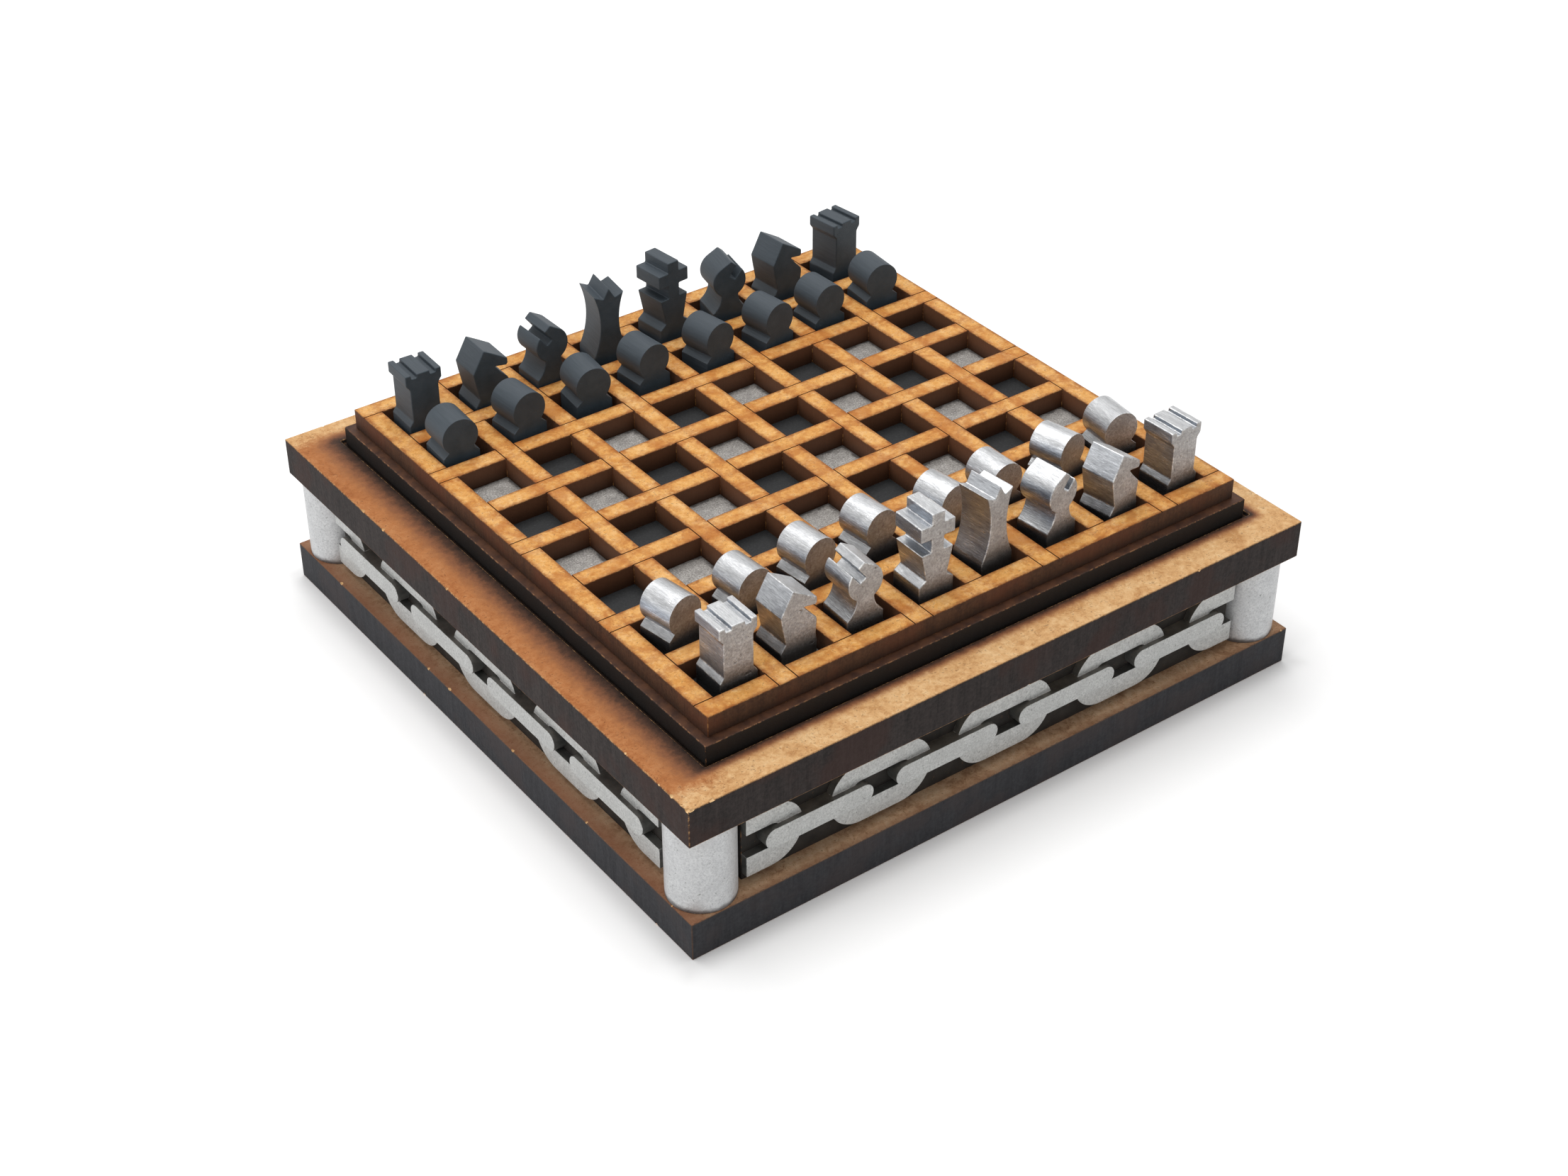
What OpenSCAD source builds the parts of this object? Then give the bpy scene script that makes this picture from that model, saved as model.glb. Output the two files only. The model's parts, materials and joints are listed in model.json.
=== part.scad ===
// Small chess box with two drawers: two square plates on four round columns,
// a board floor and a lattice of cells on top, and thirty-two flat-cut
// chess pieces that stand in the cells. Millimetres, +Z up, +Y away from
// the silver side, origin under the middle of the base plate.

/* [Plates] */
// Side length of the square base plate and top plate
plate_w = 106; // [104:0.5:112]
// Thickness of the base plate and of the top plate
plate_t = 6; // [5:0.25:8]
// Thickness of the thin sheet of the panels, drawers, board floor and lattice
sheet_t = 3.2; // [2.8:0.1:3.4]

/* [Columns] */
// Diameter of the round columns
column_d = 9.5; // [8:0.25:10]
// Height of the columns, which is the gap between the plates
column_h = 12.8; // [12:0.2:16]
// Distance from a plate's edge to the axis of a column
column_inset = 4.9; // [4.9:0.1:5.5]

/* [Board] */
// Side length of one square cell
cell_w = 8; // [7.8:0.1:8.2]
// Width of a lattice strip between two cells
strip_w = 3; // [2.6:0.1:3]
// How far the board floor shows outside the lattice on each side
step_w = 1.3; // [0.8:0.1:1.6]
// Depth of the pocket that is burnt into the top plate for the board floor
pocket_d = 0.7; // [0.4:0.1:1]
// Groove left round the board floor in its pocket
pocket_gap = 0.6; // [0.3:0.1:0.7]
// How far the board sits to the right of the box's middle
board_shift_x = 0.9; // [0:0.1:1]
// How far the board sits behind the box's middle
board_shift_y = 0.2; // [0:0.1:1]
// Thickness of the silver squares laid on the dark floor
square_t = 0.2; // [0.1:0.05:0.4]
// Gap between a silver square and the walls of its cell
square_gap = 0.1; // [0.05:0.05:0.3]

/* [Sides] */
// How far the face of each side panel lies behind the plates' edges
panel_recess = 3.2; // [3:0.1:4]
// Gap between a panel's end and the column beside it
column_gap = 0.35; // [0.3:0.05:0.6]
// Distance between the middles of two chain rings
ring_pitch = 21.2; // [20:0.1:22]
// Height of a chain ring
ring_h = 10.2; // [9.6:0.1:11]
// Length of a chain ring
ring_l = 16.8; // [16:0.1:18]
// Width of the bar that forms a ring
ring_bar = 3.25; // [2.8:0.05:3.5]
// How far the rings stand out from the panel
ring_t = 1.2; // [0.8:0.1:1.6]
// Length of the bars that join the rings
link_l = 17.4; // [16:0.1:18]
// Height of the bars that join the rings
link_h = 3.1; // [2.8:0.1:3.4]
// How far the joining bars stand out from the panel
link_t = 2; // [1.7:0.1:2.4]

/* [Drawers] */
// Gap over a closed drawer
drawer_gap = 0.4; // [0.3:0.05:0.8]
// Gap between a drawer's side and the guide beside it
guide_gap = 0.4; // [0.35:0.05:0.8]

/* [Chess pieces] */
// Least gap between a piece's foot and the walls of its cell
foot_gap = 0.2; // [0.1:0.05:0.25]
// Thickness of every piece, front to back
piece_t = 5.6; // [5:0.1:6.4]
// Width of every piece's foot
foot_w = 5.8; // [5.6:0.1:6.2]
// Height of the straight part of the foot
foot_h = 3.6; // [3.4:0.1:3.8]
// Rise of the sloping shoulder on the foot
shoulder_h = 0.8; // [0.5:0.1:1]
// Height of a pawn
pawn_h = 9.4; // [9.2:0.1:10]
// Diameter of a pawn's round head
pawn_head_d = 5.7; // [5.4:0.1:6]
// Width of a pawn's neck
pawn_neck_w = 4; // [3.6:0.1:4.4]
// Height of a rook
rook_h = 12; // [11.5:0.1:13]
// Width of a rook's body
rook_body_w = 4.6; // [4:0.1:4.8]
// Height of a rook's straight head
rook_head_h = 1.6; // [1.3:0.1:1.9]
// Rise of the slope under a rook's head
rook_slope_h = 0.8; // [0.5:0.1:1]
// Width of each notch in a rook's head
notch_w = 0.9; // [0.7:0.05:1.1]
// Depth of each notch in a rook's head
notch_d = 0.6; // [0.4:0.05:0.8]
// Width of the block between the two notches
merlon_w = 2.1; // [1.8:0.1:2.3]
// Height of a knight
knight_h = 12.3; // [12:0.1:13]
// Height of a bishop
bishop_h = 12.6; // [12.4:0.1:12.8]
// Diameter of a bishop's round head
bishop_head_d = 5.5; // [5.2:0.1:5.7]
// Height of the middle of a bishop's head
bishop_head_z = 9.2; // [9:0.1:9.3]
// Width of a bishop's neck
bishop_neck_w = 2.8; // [2.6:0.1:3]
// Height of a bishop's neck
bishop_neck_z = 6.9; // [6.7:0.1:7]
// Radius of the hollow below a bishop's head
bishop_side_r = 3.6; // [3.5:0.1:3.8]
// Width of the slit in a bishop's head
slit_w = 1.15; // [0.8:0.05:1.3]
// Height of a king
king_h = 15.6; // [15.2:0.1:16]
// Width of a king's shoulder, under its flat top
king_body_w = 5.3; // [5:0.1:5.6]
// Width of a king's waist, above its foot
king_waist_w = 3.5; // [3.2:0.1:4]
// Height of a king's flat top
king_body_z = 9.6; // [9.3:0.1:10]
// Height of the straight part of a king's foot
king_foot_h = 4.6; // [4.2:0.1:5]
// Width of the upright of a king's cross
cross_w = 2.1; // [1.8:0.1:2.4]
// Width of the arm of a king's cross
cross_arm_w = 5.7; // [5.4:0.1:6]
// Height of the arm of a king's cross
cross_arm_h = 2.2; // [2:0.1:2.4]
// Height of the upright above the arm of a king's cross
cross_tip_h = 1.7; // [1.4:0.1:2]
// Height of a queen
queen_h = 15; // [14.8:0.1:15.2]
// Width of a queen's waist
queen_waist_w = 3.1; // [2.9:0.1:3.3]
// Height of a queen's waist
queen_waist_z = 9.2; // [9:0.1:9.4]
// Radius of the hollow sides of a queen
queen_side_r = 13; // [12.8:0.1:13.5]
// Width of a queen's crown from tip to tip
crown_w = 4.9; // [4.7:0.1:5]
// How far the outer tips of the crown lie below the middle one
crown_drop = 1; // [0.8:0.1:1.2]
// How far the notches of the crown lie below the middle tip
crown_notch_d = 1.7; // [1.5:0.1:2]

/* [Hidden] */

$fn = 96;
// Overrun that carries each cut past the faces it opens
overrun = 1;
// Cells along each side of the board
cells = 8;

cell_pitch = cell_w + strip_w;
lattice_w = cells * cell_pitch + strip_w;
floor_w = lattice_w + 2 * step_w;
pocket_w = floor_w + 2 * pocket_gap;

top_z = plate_t + column_h;
floor_z = top_z + plate_t - pocket_d;
board_z = floor_z + sheet_t;

column_x = plate_w / 2 - column_inset;
panel_l = 2 * (column_x - column_d / 2 - column_gap);
panel_y = plate_w / 2 - panel_recess - sheet_t;
guide_x = panel_l / 2 + guide_gap;
guide_t = panel_y - guide_x;
drawer_h = column_h - drawer_gap;
chain_z = column_h / 2;
drawer_l = panel_y - sheet_t / 2;
// Rings either side of the middle one, enough to reach the panel's ends
rings_beside = ceil((panel_l - ring_l) / 2 / ring_pitch);

// A knight's outline from its left shoulder round to its right one, across as
// shares of the foot's width and up as shares of the knight's height
knight_shares = [
    [-0.36, 0.36], [-0.45, 0.57], [-0.5, 0.72], [-0.16, 1], [0.16, 0.91],
    [0.5, 0.81], [0.5, 0.75], [0.46, 0.72], [0.13, 0.745], [0.31, 0.64],
    [0.49, 0.55], [0.5, 0.5], [0.47, 0.36]
];

// How the pieces stand in their cells, a line for each rank from the silver
// side, from the left: how far each is set to the right and to the back, as
// shares of its free way to the cell's walls
place_shares = [
    [
        [0.8, -0.3], [-0.4, 0.5], [-0.9, 0.2], [-0.3, -0.3],
        [-0.3, 0.8], [0, 0.4], [-0.4, -0.8], [0.4, -0.4]
    ],
    [
        [-0.2, 0.1], [0.1, -0.2], [-0.2, 0.2], [-0.3, 1],
        [0.7, -1], [-1, -0.4], [-0.5, -1], [-1, 0]
    ],
    [
        [-0.9, -0.1], [-0.7, 0], [0.8, 0.8], [-0.2, 1],
        [1, 0.6], [0.5, -0.5], [-0.6, 0], [-1, 0.3]
    ],
    [
        [-0.4, -0.7], [-0.5, -1], [-1, -1], [-1, 0],
        [-0.8, -0.1], [-0.8, -0.7], [-1, 0], [0.8, 1]
    ]
];
// How far each is turned, in degrees
place_turns = [
    [-1, 0, -3, -1, 5, 6, 8, 2],
    [9, 4, 6, 5, 7, 1, 12, -7],
    [-3, 5, -6, 5, 9, 8, 2, -5],
    [-2, -2, 1, -8, 6, -12, 4, 7]
];

// Leaning of a bishop's tip from upright, and of its slit, in degrees
bishop_tip_a = 5;
bishop_slit_a = 37;
// Start of the slit as shares of the radius of a bishop's head
slit_share = [-0.16, 0.2];
// Middle of a crown notch as a share of the way to the outer tip
crown_notch_share = 0.39;

silver = "#b7b6b1";
silver_shade = "#9a9994";
black = "#2c3036";
wood = "#b98448";
pale_wood = "#cf9b5c";
char_wood = "#4a3427";

// The box

module base_plate() {
    color(wood)
        translate([-plate_w / 2, -plate_w / 2, 0])
            cube([plate_w, plate_w, plate_t]);
}

module top_plate() {
    color(wood)
        difference() {
            translate([-plate_w / 2, -plate_w / 2, top_z])
                cube([plate_w, plate_w, plate_t]);
            translate([board_shift_x - pocket_w / 2, board_shift_y - pocket_w / 2, floor_z])
                cube([pocket_w, pocket_w, pocket_d + overrun]);
        }
}

module column(x_side, y_side) {
    color(silver)
        translate([x_side * column_x, y_side * column_x, plate_t])
            cylinder(h = column_h, d = column_d);
}

module column_front_left() { column(-1, -1); }
module column_front_right() { column(1, -1); }
module column_back_left() { column(-1, 1); }
module column_back_right() { column(1, 1); }

// A sheet panel that stands behind the front edge, as high as asked
module face_panel(h) {
    color(char_wood)
        translate([-panel_l / 2, -panel_y - sheet_t, plate_t])
            cube([panel_l, sheet_t, h]);
}

module stadium(l, h) {
    square([l - h, h], center = true);
    for (side = [-1, 1])
        translate([side * (l - h) / 2, 0])
            circle(d = h);
}

module ring_outline() {
    difference() {
        stadium(ring_l, ring_h);
        stadium(ring_l - 2 * ring_bar, ring_h - 2 * ring_bar);
    }
}

// Outlines cut off square at the panel's ends
module within_panel() {
    intersection() {
        square([panel_l, ring_h + overrun], center = true);
        children();
    }
}

// The chain relief on the front of a face panel
module face_chain() {
    color(silver)
        translate([0, -panel_y - sheet_t, plate_t + chain_z])
            rotate([90, 0, 0]) {
                linear_extrude(ring_t)
                    within_panel()
                        for (i = [-rings_beside : rings_beside])
                            translate([i * ring_pitch, 0])
                                ring_outline();
                linear_extrude(link_t)
                    within_panel()
                        for (i = [-rings_beside : rings_beside - 1])
                            translate([(i + 0.5) * ring_pitch, 0])
                                stadium(link_l, link_h);
            }
}

module left_panel() { rotate([0, 0, -90]) face_panel(column_h); }
module right_panel() { rotate([0, 0, 90]) face_panel(column_h); }
module left_chain() { rotate([0, 0, -90]) face_chain(); }
module right_chain() { rotate([0, 0, 90]) face_chain(); }

// Inner wall on the back of a side panel, which a drawer slides along
module guide() {
    color(pale_wood)
        translate([guide_x, -panel_l / 2, plate_t])
            cube([guide_t, panel_l, column_h]);
}

module right_guide() { guide(); }
module left_guide() { mirror([1, 0, 0]) guide(); }

module centre_divider() {
    color(pale_wood)
        translate([-guide_x, -sheet_t / 2, plate_t])
            cube([2 * guide_x, sheet_t, column_h]);
}

// The board

module board_floor() {
    color(black)
        translate([board_shift_x - floor_w / 2, board_shift_y - floor_w / 2, floor_z])
            cube([floor_w, floor_w, sheet_t]);
}

// Middle of a cell; columns run to the right and rows to the back, from 0
function cell_x(column) = board_shift_x + (column - (cells - 1) / 2) * cell_pitch;
function cell_y(row) = board_shift_y + (row - (cells - 1) / 2) * cell_pitch;
function is_silver(column, row) = (column + row) % 2 == 1;

module silver_squares() {
    square_w = cell_w - 2 * square_gap;
    color(silver)
        for (column = [0 : cells - 1], row = [0 : cells - 1])
            if (is_silver(column, row))
                translate([cell_x(column) - square_w / 2, cell_y(row) - square_w / 2, board_z])
                    cube([square_w, square_w, square_t]);
}

module board_lattice() {
    color(pale_wood)
        translate([0, 0, board_z])
            linear_extrude(sheet_t)
                difference() {
                    translate([board_shift_x, board_shift_y])
                        square(lattice_w, center = true);
                    for (column = [0 : cells - 1], row = [0 : cells - 1])
                        translate([cell_x(column), cell_y(row)])
                            square(cell_w, center = true);
                }
}

// The drawers

module drawer_floor() {
    color(pale_wood)
        translate([-panel_l / 2, -panel_y, plate_t])
            cube([panel_l, drawer_l, sheet_t]);
}

module drawer_side(x_side) {
    color(pale_wood)
        translate([x_side * (panel_l - sheet_t) / 2 - sheet_t / 2, -panel_y, plate_t + sheet_t])
            cube([sheet_t, drawer_l, drawer_h - sheet_t]);
}

module drawer_end() {
    color(pale_wood)
        translate([sheet_t - panel_l / 2, -sheet_t * 3 / 2, plate_t + sheet_t])
            cube([panel_l - 2 * sheet_t, sheet_t, drawer_h - sheet_t]);
}

module front_drawer_face() { face_panel(drawer_h); }
module front_drawer_chain() { face_chain(); }
module front_drawer_floor() { drawer_floor(); }
module front_drawer_left_side() { drawer_side(-1); }
module front_drawer_right_side() { drawer_side(1); }
module front_drawer_end() { drawer_end(); }

module at_back() { rotate([0, 0, 180]) children(); }

module back_drawer_face() { at_back() face_panel(drawer_h); }
module back_drawer_chain() { at_back() face_chain(); }
module back_drawer_floor() { at_back() drawer_floor(); }
module back_drawer_left_side() { at_back() drawer_side(1); }
module back_drawer_right_side() { at_back() drawer_side(-1); }
module back_drawer_end() { at_back() drawer_end(); }

// The chess pieces, each an outline cut square from thick sheet

module foot(top_w, h = foot_h) {
    polygon([
        [-foot_w / 2, 0], [foot_w / 2, 0], [foot_w / 2, h],
        [top_w / 2, h + shoulder_h], [-top_w / 2, h + shoulder_h], [-foot_w / 2, h]
    ]);
}

module pawn() {
    foot(pawn_neck_w);
    translate([-pawn_neck_w / 2, 0])
        square([pawn_neck_w, pawn_h - pawn_head_d / 2]);
    translate([0, pawn_h - pawn_head_d / 2])
        circle(d = pawn_head_d);
}

module rook() {
    head_z = rook_h - rook_head_h;
    difference() {
        union() {
            foot(rook_body_w);
            polygon([
                [-rook_body_w / 2, 0], [rook_body_w / 2, 0],
                [rook_body_w / 2, head_z - rook_slope_h], [foot_w / 2, head_z],
                [foot_w / 2, rook_h], [-foot_w / 2, rook_h],
                [-foot_w / 2, head_z], [-rook_body_w / 2, head_z - rook_slope_h]
            ]);
        }
        for (side = [-1, 1])
            translate([side * (merlon_w + notch_w) / 2 - notch_w / 2, rook_h - notch_d])
                square([notch_w, notch_d + overrun]);
    }
}

module knight() {
    polygon(concat(
        [[foot_w / 2, 0], [-foot_w / 2, 0], [-foot_w / 2, foot_h - shoulder_h / 2]],
        [for (p = knight_shares) [p.x * foot_w, p.y * knight_h]],
        [[foot_w / 2, foot_h - shoulder_h / 2]]
    ));
}

module bishop() {
    head_r = bishop_head_d / 2;
    tip_r = bishop_h - bishop_head_z;
    side_a = acos(head_r / tip_r);
    difference() {
        union() {
            difference() {
                translate([-foot_w / 2, 0])
                    square([foot_w, bishop_neck_z]);
                for (side = [-1, 1])
                    translate([side * (bishop_neck_w / 2 + bishop_side_r), bishop_neck_z])
                        circle(r = bishop_side_r);
            }
            translate([0, bishop_head_z]) {
                circle(r = head_r);
                polygon([
                    [0, 0],
                    for (a = [-side_a, 0, side_a])
                        (a == 0 ? tip_r : head_r) * [-sin(bishop_tip_a + a), cos(bishop_tip_a + a)]
                ]);
            }
        }
        translate([slit_share.x * head_r, bishop_head_z + slit_share.y * head_r])
            rotate(bishop_slit_a)
                translate([-slit_w / 2, 0])
                    square([slit_w, bishop_head_d]);
    }
}

module king() {
    arm_z = king_h - cross_tip_h - cross_arm_h;
    foot(king_waist_w, king_foot_h);
    polygon([
        [-king_waist_w / 2, 0], [king_waist_w / 2, 0],
        [king_waist_w / 2, king_foot_h + shoulder_h], [king_body_w / 2, king_body_z],
        [-king_body_w / 2, king_body_z], [-king_waist_w / 2, king_foot_h + shoulder_h]
    ]);
    translate([-cross_w / 2, 0])
        square([cross_w, king_h]);
    translate([-cross_arm_w / 2, arm_z])
        square([cross_arm_w, cross_arm_h]);
}

module queen() {
    notch_z = queen_h - crown_notch_d;
    notch_x = crown_notch_share * crown_w / 2;
    difference() {
        polygon([
            [-foot_w / 2, 0], [foot_w / 2, 0], [foot_w / 2, queen_waist_z],
            [crown_w / 2, queen_h - crown_drop], [notch_x, notch_z], [0, queen_h],
            [-notch_x, notch_z], [-crown_w / 2, queen_h - crown_drop],
            [-foot_w / 2, queen_waist_z]
        ]);
        for (side = [-1, 1])
            translate([side * (queen_waist_w / 2 + queen_side_r), queen_waist_z])
                circle(r = queen_side_r);
    }
}

// Stands an outline up in a cell, on the floor or silver square, facing the
// silver side unless it is turned
module in_cell(column, row, turn = 0) {
    line = row % (cells / 2);
    shares = place_shares[line][column];
    lean_a = place_turns[line][column];
    foot_x = foot_w * cos(lean_a) + piece_t * abs(sin(lean_a));
    foot_y = foot_w * abs(sin(lean_a)) + piece_t * cos(lean_a);
    free_x = max(0, (cell_w - foot_x) / 2 - foot_gap);
    free_y = max(0, (cell_w - foot_y) / 2 - foot_gap);
    stand_z = board_z + (is_silver(column, row) ? square_t : 0);
    translate([cell_x(column), cell_y(row), stand_z])
        translate([shares.x * free_x, shares.y * free_y, 0])
            rotate([0, 0, turn + lean_a])
                rotate([90, 0, 0])
                    linear_extrude(piece_t, center = true)
                        children();
}

module silver_rook_a() { color(silver) in_cell(0, 0) rook(); }
module silver_knight_b() { color(silver) in_cell(1, 0) knight(); }
module silver_bishop_c() { color(silver) in_cell(2, 0) bishop(); }
module silver_king_d() { color(silver) in_cell(3, 0) king(); }
module silver_queen_e() { color(silver) in_cell(4, 0) queen(); }
module silver_bishop_f() { color(silver) in_cell(5, 0, 180) bishop(); }
module silver_knight_g() { color(silver) in_cell(6, 0) knight(); }
module silver_rook_h() { color(silver) in_cell(7, 0) rook(); }

module silver_pawn_a() { color(silver) in_cell(0, 1) pawn(); }
module silver_pawn_b() { color(silver) in_cell(1, 1) pawn(); }
module silver_pawn_c() { color(silver) in_cell(2, 1) pawn(); }
module silver_pawn_d() { color(silver) in_cell(3, 1) pawn(); }
module silver_pawn_e() { color(silver) in_cell(4, 1) pawn(); }
module silver_pawn_f() { color(silver) in_cell(5, 1) pawn(); }
module silver_pawn_g() { color(silver) in_cell(6, 1) pawn(); }
module silver_pawn_h() { color(silver) in_cell(7, 1) pawn(); }

module black_pawn_a() { color(black) in_cell(0, 6) pawn(); }
module black_pawn_b() { color(black) in_cell(1, 6) pawn(); }
module black_pawn_c() { color(black) in_cell(2, 6) pawn(); }
module black_pawn_d() { color(black) in_cell(3, 6) pawn(); }
module black_pawn_e() { color(black) in_cell(4, 6) pawn(); }
module black_pawn_f() { color(black) in_cell(5, 6) pawn(); }
module black_pawn_g() { color(black) in_cell(6, 6) pawn(); }
module black_pawn_h() { color(black) in_cell(7, 6) pawn(); }

module black_rook_a() { color(black) in_cell(0, 7) rook(); }
module black_knight_b() { color(black) in_cell(1, 7) knight(); }
module black_bishop_c() { color(black) in_cell(2, 7) bishop(); }
module black_queen_d() { color(black) in_cell(3, 7) queen(); }
module black_king_e() { color(black) in_cell(4, 7) king(); }
module black_bishop_f() { color(black) in_cell(5, 7, 180) bishop(); }
module black_knight_g() { color(black) in_cell(6, 7) knight(); }
module black_rook_h() { color(black) in_cell(7, 7) rook(); }

base_plate();
column_front_left();
column_front_right();
column_back_left();
column_back_right();
left_panel();
right_panel();
left_chain();
right_chain();
left_guide();
right_guide();
centre_divider();
top_plate();
board_floor();
silver_squares();
board_lattice();
front_drawer_face();
front_drawer_chain();
front_drawer_floor();
front_drawer_left_side();
front_drawer_right_side();
front_drawer_end();
back_drawer_face();
back_drawer_chain();
back_drawer_floor();
back_drawer_left_side();
back_drawer_right_side();
back_drawer_end();
silver_rook_a();
silver_knight_b();
silver_bishop_c();
silver_king_d();
silver_queen_e();
silver_bishop_f();
silver_knight_g();
silver_rook_h();
silver_pawn_a();
silver_pawn_b();
silver_pawn_c();
silver_pawn_d();
silver_pawn_e();
silver_pawn_f();
silver_pawn_g();
silver_pawn_h();
black_pawn_a();
black_pawn_b();
black_pawn_c();
black_pawn_d();
black_pawn_e();
black_pawn_f();
black_pawn_g();
black_pawn_h();
black_rook_a();
black_knight_b();
black_bishop_c();
black_queen_d();
black_king_e();
black_bishop_f();
black_knight_g();
black_rook_h();
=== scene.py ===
"""A small chess box with two drawers, dressed for its picture. Metres, +Z up.

Named sizes, and places in materials, are in millimetres.
"""

import json
import math
import random
from collections import namedtuple

import bpy
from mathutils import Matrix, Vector

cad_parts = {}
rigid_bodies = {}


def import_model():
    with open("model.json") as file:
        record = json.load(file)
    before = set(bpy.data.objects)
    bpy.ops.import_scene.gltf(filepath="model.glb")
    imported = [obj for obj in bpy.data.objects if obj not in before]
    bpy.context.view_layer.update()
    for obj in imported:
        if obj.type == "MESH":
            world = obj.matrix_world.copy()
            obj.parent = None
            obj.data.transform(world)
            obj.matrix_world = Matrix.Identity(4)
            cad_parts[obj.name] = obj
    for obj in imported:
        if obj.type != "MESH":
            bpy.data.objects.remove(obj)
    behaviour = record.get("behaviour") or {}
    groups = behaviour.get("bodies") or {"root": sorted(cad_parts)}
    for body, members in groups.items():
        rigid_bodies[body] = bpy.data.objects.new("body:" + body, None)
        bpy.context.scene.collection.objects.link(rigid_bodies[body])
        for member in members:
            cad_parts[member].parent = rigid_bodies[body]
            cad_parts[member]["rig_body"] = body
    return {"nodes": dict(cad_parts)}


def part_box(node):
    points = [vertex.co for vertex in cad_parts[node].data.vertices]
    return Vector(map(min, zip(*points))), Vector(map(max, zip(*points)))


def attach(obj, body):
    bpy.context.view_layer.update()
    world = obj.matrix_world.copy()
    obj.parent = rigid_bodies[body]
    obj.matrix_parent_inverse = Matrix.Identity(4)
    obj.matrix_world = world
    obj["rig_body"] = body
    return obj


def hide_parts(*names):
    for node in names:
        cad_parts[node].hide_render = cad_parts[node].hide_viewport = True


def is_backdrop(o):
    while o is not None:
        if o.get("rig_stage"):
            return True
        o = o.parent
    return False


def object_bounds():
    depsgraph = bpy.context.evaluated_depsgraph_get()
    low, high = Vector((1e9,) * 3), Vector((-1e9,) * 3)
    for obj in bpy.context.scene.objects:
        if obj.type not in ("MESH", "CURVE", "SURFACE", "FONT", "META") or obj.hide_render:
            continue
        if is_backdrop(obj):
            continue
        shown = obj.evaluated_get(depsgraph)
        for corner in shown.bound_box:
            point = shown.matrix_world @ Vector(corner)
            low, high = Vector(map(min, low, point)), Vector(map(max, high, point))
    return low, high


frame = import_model()
cad_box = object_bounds()

MM = 0.001
ACROSS = Vector((1, 0, 0))
AWAY = Vector((0, 1, 0))
UP = Vector((0, 0, 1))
WHITE = (1.0, 1.0, 1.0, 1.0)

# The plates: half their width, and the heights of their arrises
HALF_PLATE = 53
BASE_PLATE_BOTTOM, BASE_PLATE_TOP = 0, 6
TOP_PLATE_BOTTOM, TOP_PLATE_TOP = 18.8, 24.8

# The board: its middle, the pitch of its cells, the width of a strip
BOARD_X, BOARD_Y = 0.9, 0.2
CELLS = 8
PITCH = 11.0
STRIP = 3.0
LATTICE = CELLS * PITCH + STRIP
HALF_LATTICE = LATTICE / 2
TOP_OF_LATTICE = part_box("board_lattice")[1].z / MM

# What is added to a place to measure it from the strips' middles or from the cells'
TO_STRIPS, TO_CELLS = PITCH / 2, 0.0

# The pocket in the top plate: the floor's ledge round the lattice, and the gap beside it
LEDGE = 1.3
POCKET_GAP = 0.6
POCKET = LATTICE + 2 * LEDGE + 2 * POCKET_GAP

# The score lines in the lattice, and how far a line runs past its strip in all
SCORE_WIDTH = 0.17
SCORE_DEPTH = 0.16
SCORE_OVERRUN = 0.4

# Corners closer than this are made one in a copy of a node, and in one of a chess piece
CLOSE = 0.002
CLOSE_ON_PIECE = 0.06

# Faces that meet flatter than the first angle are one, and sharper than the second are rounded
FLAT_ANGLE = math.radians(0.5)
ARRIS_ANGLE = math.radians(32)

# The smallest and largest chip in an arris, how its width and height vary, how rough it is
# for its size, and how far out on the base plate no drawer slides over it
CHIP = (0.3, 0.6)
TOP_CHIP = (0.25, 0.65)
CHIP_WIDTH = (0.7, 1.7)
CHIP_HEIGHT = (0.6, 1.1)
CHIP_ROUGHNESS = 0.12
BESIDE_DRAWERS = 46

# Each chess piece's paint pattern lies this much further along than the last one's
PATTERN_STEP = 25.0
CHESS_PIECES = ("pawn", "rook", "knight", "bishop", "king", "queen")

# Where smoke starts to show, and where it shows in full: on the top plate across and along,
# and on the base plate at its rim and on the left; and where painted shade starts and is full:
# on a cell's floor from its middle, and up a column and a chess piece
TOP_SMOKE_ACROSS = (-41.0, -45.5)
TOP_SMOKE_ALONG = (55.0, 51.0)
BASE_RIM_SMOKE = (52.4, 53.5)
BASE_LEFT_SMOKE = (-50.5, -52.8)
CELL_EDGE_SHADE = (3.2, 3.9)
COLUMN_FOOT_SHADE = (7.5, 6.7)
PIECE_FOOT_SHADE = (6.8, 2.8)

# How far scorching reaches from the board's pocket: left, right, front and back
SCORCH_REACH = (5.7, 2.2, 2.2, 3.4)

# Smoke on the lattice: the radius and breadth of its ring round a crossing, and how far it
# reaches from a cut; and where painted shade darkens the cells' walls, under the lattice's top
RING_RADIUS = 4.2
RING_BREADTH = 1.3
CUT_SMOKE = 0.75
WALL_SHADE = (0.7, 3.2)

# The white floor: how far from the box's middle its glow grows to full, and how far out it
# starts, leaving a painted contact shadow at the plates' foot where the glow is held back
GLOW_GROWS = (150.0, 900.0)
GLOW_STARTS_PAST_PAINTED_SHADOW = (53.0, 57.0)

# Colours of board faces: dark, middle and light fibre
TOP_FACE = ("c3905c", "dcae79", "eac492")
BASE_FACE = ("a67e5e", "cda582", "e0bf9b")
LATTICE_FACE = ("d69449", "e6ac62", "efbf81")
INNER_FACE = ("b58a5c", "cfa574", "dfbb8b")
FRESH_FACE = ("c99a66", "e0b680", "efcf9e")

# Colours of burnt edges: dark and light streaks, and a blush in places
TOP_EDGE = ("262221", "423b39", "432f2a")
BASE_EDGE = ("313134", "434346", "474040")
LATTICE_WALL = ("402a1f", "60422f", "6a3d29")
FLOOR_SIDE = ("0f0d0c", "1a1614", "1f1612")
INNER_EDGE = ("2a2320", "463a32", "4d3426")

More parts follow.
